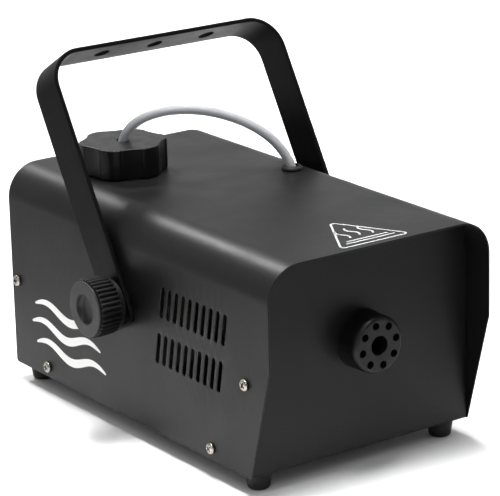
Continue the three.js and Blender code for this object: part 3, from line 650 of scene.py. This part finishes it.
mid_radius = BEND - SHEET / 2
wall = HEIGHT - BEND
roof = WIDTH - 2 * BEND
bend_length = mid_radius * math.pi / 2
girth = 2 * wall + 2 * bend_length + roof
roof_start = wall + bend_length
cover_outline = rounded(
    [(0, HOOD_DEPTH), (HOOD_LIP, 0), (girth - HOOD_LIP, 0), (girth, HOOD_DEPTH), (girth, LENGTH), (0, LENGTH)],
    [2.5, 4, 4, 2.5, 2.5, 2.5],
)
cover_holes = []
for u_of in (lambda z: z, lambda z: girth - z):
    for row in SLOT_ROWS:
        for i in range(SLOT_COUNT):
            y = SLOT_FIRST + i * SLOT_PITCH + SLOT_LEAN * (SLOT_ROWS[0] - row)
            cover_holes.append(slot_outline(u_of, y, row))
    for y, z in SIDE_SCREWS:
        cover_holes.append(circle(u_of(z), y, SCREW_HOLE, 24))
    cover_holes.append(circle(u_of(PIVOT[1]), PIVOT[0], PIVOT_HOLE, 32))
CAP_HOLE, GROMMET_HOLE = 26, 6.2
cover_holes.append(circle(roof_start + CAP[0] + roof / 2, CAP[1], CAP_HOLE, 64))
cover_holes.append(circle(roof_start + GROMMET[0] + roof / 2, GROMMET[1], GROMMET_HOLE, 40))
cover_shape = folded(
    plate([cover_outline, *cover_holes], SHEET, 0.3), (-WIDTH / 2 + SHEET / 2, 0), 90,
    [(wall, 0), (bend_length, -90), (roof, 0), (bend_length, -90), (wall, 0)],
)
piece("case_cover", *cover_shape, CASE, coat_case, "powder_coat", "case", ["cover"])

plate_half = WIDTH / 2 - SHEET - PLATE_GAP
plate_top = HEIGHT - SHEET - PLATE_GAP
rear = LENGTH - 1.0
fold = 2.0
fold_length = fold * math.pi / 2
upright = plate_top - SHEET / 2 - fold
depth = rear - SHEET - HOOD_DEPTH - 2 * fold
span = 2 * upright + 2 * fold_length + depth
floor_start = upright + fold_length


def rear_u(z):
    return plate_top - z


def front_u(z):
    return span - (plate_top - z)


def floor_u(y):
    return floor_start + (rear - SHEET / 2 - fold) - y


chassis_outline = rounded(
    [(0, -plate_half), (0, plate_half), (span, plate_half), (span, -plate_half)], [22.5] * 4, 10,
)
NOZZLE_HOLE, REMOTE_HOLE, INLET_SCREW_HOLE = 12.4, 8.3, 1.9
INLET_WINDOW, SWITCH_WINDOW = (14, 16), (6.7, 10.2)  # half width, half height
chassis_holes = [circle(front_u(NOZZLE_Z), 0, NOZZLE_HOLE, 48)]
chassis_holes.append(circle(rear_u(REMOTE[1]), REMOTE[0], REMOTE_HOLE, 40))
for (x, z), (half, half_height) in ((INLET, INLET_WINDOW), (SWITCH, SWITCH_WINDOW)):
    low_u, high_u = rear_u(z - half_height), rear_u(z + half_height)
    corners = [(high_u, x - half), (high_u, x + half), (low_u, x + half), (low_u, x - half)]
    chassis_holes.append(rounded(corners, [1] * 4, 3))
for dx in (-INLET_SCREW_REACH, INLET_SCREW_REACH):
    chassis_holes.append(circle(rear_u(INLET[1]), INLET[0] + dx, INLET_SCREW_HOLE, 20))
chassis_holes += [circle(floor_u(y), x, SCREW_HOLE, 24) for x, y in FOOT_PLACES]
chassis_shape = folded(
    plate([chassis_outline, *chassis_holes], SHEET, 0.3), (rear - SHEET / 2, plate_top), -90,
    [(upright, 0), (fold_length, -90), (depth, 0), (fold_length, -90), (upright, 0)],
)
chassis_shape = [(v, u, w) for u, v, w in chassis_shape[0]], chassis_shape[1]
flanges = []
for side in (-1, 1):
    x0, x1 = sorted((side * plate_half, side * (plate_half - SHEET)))
    flanges.append(block(x0, x1, HOOD_DEPTH + SHEET / 2, HOOD_DEPTH + 13, 20, 112))
    flanges.append(block(x0, x1, rear - 13, rear - SHEET / 2, 20, 112))
    flanges.append(block(x0, x1, 45, 297, SHEET / 2, 15))
piece("chassis_shell", *joined(chassis_shape, *flanges), CASE, coat_plate, "powder_coat", "case", ["chassis"])


# ---------- screws ----------
def screw(shank, length, head, height):
    """A pan-head screw with a cross recess, its head's seat on z = 0."""
    profile = [(0, -length), (shank, -length), (shank, 0), (head - 0.15, 0), (head, 0.15)]
    profile += [(head, 0.35 * height), (0.97 * head, 0.5 * height), (0.88 * head, 0.72 * height)]
    profile += [(0.72 * head, 0.88 * height), (0.45 * head, 0.98 * height), (0, height)]
    arm, slit = 0.6 * head, 0.17 * head
    floor = 0.15 * height
    cross = [block(-arm, arm, -slit, slit, floor, height + 1), block(-slit, slit, -arm, arm, floor, height + 1)]
    return carved("screw", *turned(profile, 40), cross)


side_screw = screw(SCREW_SHANK, 8, SCREW_HEAD, SCREW_HEAD_HEIGHT)
number = 1
for side in (-1, 1):
    for y, z in SIDE_SCREWS:
        seat = place(side * (WIDTH / 2 + PLATE_GAP), y, z, 0, side * math.pi / 2)
        spun = seat @ Matrix.Rotation(math.radians(23 + 37 * number), 4, "Z")
        node = f"cover_screw_{number}"
        piece(f"panel_{node}", *side_screw, spun, nickel, "nickel", "case", [node], 0.12, 50)
        number += 1
foot_screw = screw(SCREW_SHANK, 12.5, SCREW_HEAD, SCREW_HEAD_HEIGHT)
for (x, y), name in zip(FOOT_PLACES, FOOT_NAMES):
    foot = [(2.4, -0.3), (2.4, -5.5), (4.8, -5.5), (4.8, -11.7), (5.1, -12), (6.0, -12), (6.6, -11.86)]
    foot += [(7.15, -11.4), (7.55, -10.75), (7.72, -10), (8.4, -5.5), (9.1, -1.0), (9.05, -0.6), (8.75, -0.3)]
    piece(f"rubber_foot_{name}", *turned(foot, 56), place(x, y, 0), rubber, "rubber", "case", [f"foot_{name}"])
    seat = place(x, y, -5.8, math.pi)
    node = f"foot_screw_{name}"
    piece(f"pan_{node}", *foot_screw, seat, nickel, "nickel", "case", [node], 0.12, 50)

# ---------- yoke ----------
# The bar's bends and half span are measured to the middle of its thickness.
YOKE_BEND, YOKE_LEG, YOKE_HALF_SPAN, YOKE_BELOW = 23.0, 169.1, 94.5, 18
YOKE_HALF_WIDTH, YOKE_THICKNESS = 15.25, 3.0
BOLT_HOLE, BOLT_REACH = 5.6, 43.8
yoke_arc = YOKE_BEND * math.pi / 2
yoke_top = 2 * (YOKE_HALF_SPAN - YOKE_BEND)
yoke_girth = 2 * YOKE_LEG + 2 * yoke_arc + yoke_top
yoke_corners = [(0, -YOKE_HALF_WIDTH), (yoke_girth, -YOKE_HALF_WIDTH)]
yoke_corners += [(yoke_girth, YOKE_HALF_WIDTH), (0, YOKE_HALF_WIDTH)]
yoke_outline = rounded(yoke_corners, [6] * 4, 8)
yoke_holes = [circle(u, 0, PIVOT_HOLE, 32) for u in (YOKE_BELOW, yoke_girth - YOKE_BELOW)]
yoke_holes += [circle(yoke_girth / 2 + dx, 0, BOLT_HOLE, 40) for dx in (-BOLT_REACH, 0, BOLT_REACH)]
yoke_shape = folded(
    plate([yoke_outline, *yoke_holes], YOKE_THICKNESS, 0.45), (-YOKE_HALF_SPAN, -YOKE_BELOW), 90,
    [(YOKE_LEG, 0), (yoke_arc, -90), (yoke_top, 0), (yoke_arc, -90), (YOKE_LEG, 0)],
)
yoke_place = place(0, *PIVOT, YOKE_TILT)
piece("carrying_yoke", *yoke_shape, yoke_place, coat_yoke, "powder_coat", "bracket", ["bracket"])

# ---------- clamp knobs ----------
RIBS, RIB_DEPTH, RIBS_FROM, RIBS_TO = 36, 1.7, 6.25, 22.15
KNOB_SEAT, KNOB_BORE_END = 96.0, 15


def rib_wave(angle, radius, z):
    """Rounded ribs round the knob's barrel, with narrow valleys."""
    if not RIBS_FROM < z < RIBS_TO:
        return radius
    crest = abs(math.cos(angle * RIBS / 2)) ** 0.8
    return radius - RIB_DEPTH * (1 - crest)


knob_profile = [
    (4.3, KNOB_BORE_END), (4.3, 1.8), (16.6, 1.8), (16.9, 1.95), (17.0, 2.3), (17.0, 5.6), (17.2, 6.0),
    (17.7, 6.15), (19.3, 6.3), (19.9, 6.7), (20.1, 7.6), (20.3, 12), (20.5, 16), (20.5, 21.2), (20.3, 21.7),
    (19.6, 22.05), (18.6, 22.2), (11.4, 22.2), (11.3, 19.1), (0, 19.1),
]
knob_face_profile = [
    (0, 19.2), (10.6, 19.2), (11.0, 22.3), (18.1, 22.3), (18.3, 22.55), (18.9, 22.9), (19.0, 23.3),
    (18.95, 23.7), (18.6, 23.95), (18.2, 24.0), (11.0, 24.0), (10.65, 23.9), (10.45, 23.6), (10.2, 22.4),
    (10.0, 21.5), (9.6, 20.8), (8.9, 20.3), (7.9, 20.05), (6.4, 19.9), (3.2, 19.82), (0, 19.8),
]
for side, name in ((-1, "left"), (1, "right")):
    pivot = place(side * KNOB_SEAT, *PIVOT, 0, side * math.pi / 2)
    body = f"knob_{name}"
    knob = turned([(0, KNOB_BORE_END), *knob_profile], RIBS * 8, rib_wave)
    # The ribs take the painted-shade copy and the face takes the painted-light copy.
    piece(f"clamp_{body}", *knob, pivot, knob_ribs, "knob_plastic", body, [body])
    piece(f"face_{body}", *turned(knob_face_profile, 96), pivot, knob_black, "knob_plastic", body, [body])
    washer = turned([(4.4, 0.3), (9.8, 0.3), (10, 0.5), (10, 1.3), (9.8, 1.5), (4.4, 1.5)], 64)
    node = f"knob_washer_{name}"
    piece(f"rubber_washer_{name}", *washer, pivot, rubber, "rubber", node, [node])
    spacer = turned([(4.4, -5.7), (10.7, -5.7), (11, -5.4), (11, -3.6), (10.7, -3.3), (4.4, -3.3)], 64)
    node = f"pivot_spacer_{name}"
    piece(f"plastic_spacer_{name}", *spacer, pivot, panel_black, "black_plastic", "case", [node])

# ---------- nozzle ----------
shroud_profile = [
    (6.5, -7), (12, -7), (12, 0.3), (19.9, 0.3), (20.1, 0.5), (20.1, 1.0), (19.95, 1.2), (19.7, 1.5),
    (19.7, 15.4), (19.6, 16.3), (19.3, 17.3), (18.8, 18.2), (18.2, 18.9), (17.7, 19.3), (17.3, 19.5),
    (16.9, 19.6), (6.9, 19.6), (6.6, 19.45), (6.5, 19.1),
]
SMALL_HOLES, SMALL_HOLE, HOLE_RING, FIRST_HOLE = 8, 2.65, 13.9, 11.6
small_holes = []
for i in range(SMALL_HOLES):
    angle = math.radians(FIRST_HOLE + 360 / SMALL_HOLES * i)
    x, y = HOLE_RING * math.cos(angle), HOLE_RING * math.sin(angle)
    small_holes.append(rod(SMALL_HOLE, 6, 22, 28, x, y))
shroud = carved("shroud", *turned(shroud_profile, 112), small_holes)
nozzle_place = place(0, HOOD_DEPTH, NOZZLE_Z, math.pi / 2)
piece(
    "outlet_shroud", *shroud, nozzle_place, shroud_black, "black_plastic", "case", ["nozzle_shroud"],
    bevel=0.22, angle=60,
)

# ---------- tank cap ----------
LOBES, LOBE_TURN, SCALLOP_HALF = 6, 10.0, 15.0
SCALLOP, SCALLOP_END, SHOULDER, PEAK = 28.0, 29.7, 30.3, 31.5
GROOVE_DEPTH, GROOVE_HALF, CAP_INSIDE = 0.8, 1.25, 25


def cap_reach(angle):
    """The cap's outline: finger scallops, rounded lobes and a narrow groove where they meet."""
    pitch = 360 / LOBES
    off = (math.degrees(angle) - LOBE_TURN + pitch / 2) % pitch - pitch / 2
    away = abs(off)
    if away < SCALLOP_HALF:
        reach = SCALLOP + (SCALLOP_END - SCALLOP) * (away / SCALLOP_HALF) ** 2
    else:
        reach = PEAK - (PEAK - SHOULDER) * ((pitch / 2 - away) / (pitch / 2 - SCALLOP_HALF)) ** 2
    return reach - GROOVE_DEPTH * max(0.0, 1 - abs(away - SCALLOP_HALF) / GROOVE_HALF)


def cap_wave(angle, radius, z):
    if radius < CAP_INSIDE:
        return radius
    return cap_reach(angle) - (PEAK - radius)


cap_profile = [
    (24.7, 147.8), (30.6, 147.8), (31.2, 148.0), (31.5, 148.5), (31.5, 168.5), (31.35, 168.9), (31.05, 169.12),
    (30.6, 169.2), (29.2, 169.2), (5.4, 169.2), (4.7, 169.05), (4.4, 168.6), (4.4, 167.0), (24.7, 167.0),
]
piece(
    "screw_cap", *turned(cap_profile, LOBES * 48, cap_wave), place(*CAP, 0), cap_black, "knob_plastic",
    "tank_cap", ["tank_cap"],
)

grommet_profile = [
    (4.8, 143.2), (5, 143), (6.6, 143), (7.1, 143.6), (7.2, 144.4), (7.0, 145.7), (5.9, 145.7), (5.9, 147.5),
    (7.3, 147.5), (7.5, 147.7), (7.5, 148.3), (7.3, 149.0), (6.8, 149.6), (6.2, 150.1), (5.6, 150.35),
    (5.05, 150.3), (4.8, 149.9),
]
piece("hose_bush", *turned(grommet_profile, 56), place(*GROMMET, 0), rubber, "rubber", "case", ["hose_grommet"])


# ---------- rear panel and inner parts ----------
def refined(node, material, body, bevel):
    """The CAD node's own shape with its flat faces whole and its edges rounded."""
    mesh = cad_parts[node].data.copy()
    work = bmesh.new()
    work.from_mesh(mesh)
    bmesh.ops.remove_doubles(work, verts=work.verts, dist=2e-6)
    bmesh.ops.dissolve_limit(work, angle_limit=math.radians(2), verts=work.verts, edges=work.edges)
    work.to_mesh(mesh)
    work.free()
    return dressed(f"fine_{node}", mesh, material, body, [node], bevel, 35)


refined("mains_inlet", panel_black, "case", 0.25)
refined("fuse_drawer", panel_black, "fuse_drawer", 0.2)
refined("power_switch", panel_black, "case", 0.25)
refined("rocker", rocker_gloss, "rocker", 0.35)
refined("remote_socket", nickel, "case", 0.15)

SPRING_LOW, SPRING_HIGH, SPRING_RADIUS, SPRING_WIRE, TURNS, STEPS = 48.9, 75.2, 4.2, 0.4, 8, 32
coil_line = []
for i in range(TURNS * STEPS + 1):
    angle = 2 * math.pi * i / STEPS
    height = SPRING_LOW + (SPRING_HIGH - SPRING_LOW) * i / (TURNS * STEPS)
    coil_line.append(Vector((SPRING_RADIUS * math.cos(angle), SPRING_RADIUS * math.sin(angle), height)))
spring = piece(
    "return_spring", *tube(coil_line, SPRING_WIRE, None, 10), place(*PUMP, 0), nickel, "nickel", "case",
    ["pump_spring"],
)
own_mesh(spring)

finishes = {
    "knob_stud_left": zinc, "knob_stud_right": zinc, "pivot_nut_left": zinc, "pivot_nut_right": zinc,
    "jet_nozzle": brass, "tank": natural, "tank_tray": zinc, "cap_seal": rubber, "pickup_filter": pale_plastic,
    "pump_barrel": brass, "pump_coil": winding, "pump_bracket": zinc, "pump_plunger": nickel,
    "pressure_tube": copper, "heater_block": cast_alloy, "heater_element": zinc,
    "heater_insulation": wool, "heater_jacket": zinc, "heater_stand": zinc, "thermostat": phenolic,
    "thermal_cutout": phenolic, "control_board": board, "board_carrier": pale_plastic,
    "inlet_screw_1": nickel, "inlet_screw_2": nickel,
}
for node, material in finishes.items():
    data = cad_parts[node].data
    data.materials.clear()
    data.materials.append(material)


# ---------- printed marks ----------
def ribbon(centre_line, widths):
    """A closed outline round a line, as wide as given at each point."""
    left, right_side = [], []
    count = len(centre_line)
    for i, (here, width) in enumerate(zip(centre_line, widths)):
        ahead = Vector(centre_line[min(i + 1, count - 1)]) - Vector(centre_line[max(i - 1, 0)])
        ahead.normalize()
        across = Vector((-ahead.y, ahead.x)) * width / 2
        left.append(tuple(Vector(here) + across))
        right_side.append(tuple(Vector(here) - across))
    return left + right_side[::-1]


def printed(outlines_list, thickness=0.12):
    return joined(*[plate(outlines, thickness, 0.03) for outlines in outlines_list])


def wisp(y0, y1, z, rise, width, cycles, steps=72):
    """One wavy wisp of fog, thin at both ends."""
    line, widths = [], []
    for i in range(steps + 1):
        t = i / steps
        line.append((y0 + (y1 - y0) * t, z + rise * math.sin(2 * math.pi * cycles * t)))
        widths.append(width * (0.16 + 0.84 * math.sin(math.pi * t) ** 0.6))
    return ribbon(line, widths)


WISP = {"rise": 3.6, "width": 6.2, "cycles": 1.5}
PRINT_GAP = 0.07
side_marks = [[wisp(y0, y1, z, **WISP)] for y0, y1, z in ((196, 288, 52.5), (202, 293, 38), (196, 288, 23.5))]
side_print = printed(side_marks)
side_print = [(-WIDTH / 2 - PRINT_GAP - w, y, z) for y, z, w in side_print[0]], side_print[1]
piece("side_mark", *side_print, CASE, ink, "powder_coat", "case")

triangle = rounded([(-28.4, 6.0), (29, 6.0), (1.5, 58.5)], [3.2] * 3, 6)
triangle_hole = inset(triangle[::-1] if area_of(triangle) < 0 else triangle, 1.3)
top_marks = [[triangle, triangle_hole]]
MARK_MIDDLE, MARK_STEP, BAR_HALF = 0.8, 9.3, 0.7
for x in (MARK_MIDDLE - MARK_STEP, MARK_MIDDLE, MARK_MIDDLE + MARK_STEP):
    line = [(x + 1.8 * math.sin(2 * math.pi * i / 24), 24 + 17 * i / 24) for i in range(25)]
    if x != MARK_MIDDLE:
        line = [(a, b - 2.2) for a, b in line]
    top_marks.append([ribbon(line, [1.5] * 25)])
for y, reach in ((16.4, 16.5), (12.4, 19.5)):
    x0, x1, y0, y1 = MARK_MIDDLE - reach, MARK_MIDDLE + reach, y - BAR_HALF, y + BAR_HALF
    top_marks.append([[(x0, y0), (x1, y0), (x1, y1), (x0, y1)]])
top_print = printed(top_marks)
top_print = [(x, y, HEIGHT + PRINT_GAP + w) for x, y, w in top_print[0]], top_print[1]
piece("top_mark", *top_print, CASE, label_ink, "powder_coat", "case")

# ---------- floor and light ----------
floor_mesh = bpy.data.meshes.new("floor")
floor_mesh.from_pydata([(-8, -8, 0), (8, -8, 0), (8, 8, 0), (-8, 8, 0)], [], [(0, 1, 2, 3)])
floor_shade = Shade("floor", (0.86, 0.86, 0.86), 0.9, Specular_IOR_Level=0.1)
floor_shade.uneven_colour(floor_shade.noise(700, 2), (0.85, 0.85, 0.85))
floor_mesh.materials.append(floor_shade.material)
floor_object = bpy.data.objects.new("floor", floor_mesh)
floor_object.location.z = cad_box[0][2] - 0.0004
bpy.context.scene.collection.objects.link(floor_object)

world = bpy.data.worlds.new("studio")
world.use_nodes = True
world.node_tree.nodes["Background"].inputs["Color"].default_value = (1, 1, 1, 1)
sky = world.node_tree.nodes["Background"].inputs["Strength"]
facing = world.node_tree.nodes.new("ShaderNodeTexCoord")
rearward = world.node_tree.nodes.new("ShaderNodeVectorMath")
rearward.operation = "DOT_PRODUCT"
rearward.inputs[1].default_value = (0.15, 0.98, 0.1)
world.node_tree.links.new(facing.outputs["Generated"], rearward.inputs[0])
brighter = world.node_tree.nodes.new("ShaderNodeMapRange")
brighter.inputs["From Min"].default_value = -0.2
brighter.inputs["From Max"].default_value = 1
brighter.inputs["To Min"].default_value = 0.38
brighter.inputs["To Max"].default_value = 0.8
world.node_tree.links.new(rearward.outputs["Value"], brighter.inputs["Value"])
world.node_tree.links.new(brighter.outputs["Result"], sky)
bpy.context.scene.world = world


def soft_light(name, where, target, size, power, spread=180.0, roll=0.0):
    data = bpy.data.lights.new(name, "AREA")
    data.shape = "RECTANGLE"
    data.size, data.size_y = size
    data.energy = power
    data.spread = math.radians(spread)
    lamp = bpy.data.objects.new(name, data)
    aim = (Vector(target) - Vector(where)).to_track_quat("-Z", "Y").to_matrix().to_4x4()
    lamp.matrix_world = Matrix.Translation(where) @ aim @ Matrix.Rotation(math.radians(roll), 4, "Z")
    bpy.context.scene.collection.objects.link(lamp)


# The bank looks straight down. Its target is a hair to one side, so that its own turn is settled.
soft_light("table_bank", (0.36, 0.52, 1.5), (0.36, 0.52001, 0), (0.44, 2.5), 8.2, 34, -35.2)
soft_light("key", (-0.76, -1.04, 1.2), (0, 0, 0.1), (0.5, 0.5), 2)
soft_light("edge", (0.12, 2.8, 3.0), (-0.08, -0.1, 0.14), (0.9, 0.6), 8, 50)

view_settings = bpy.context.scene.view_settings
view_settings.view_transform = "Standard"
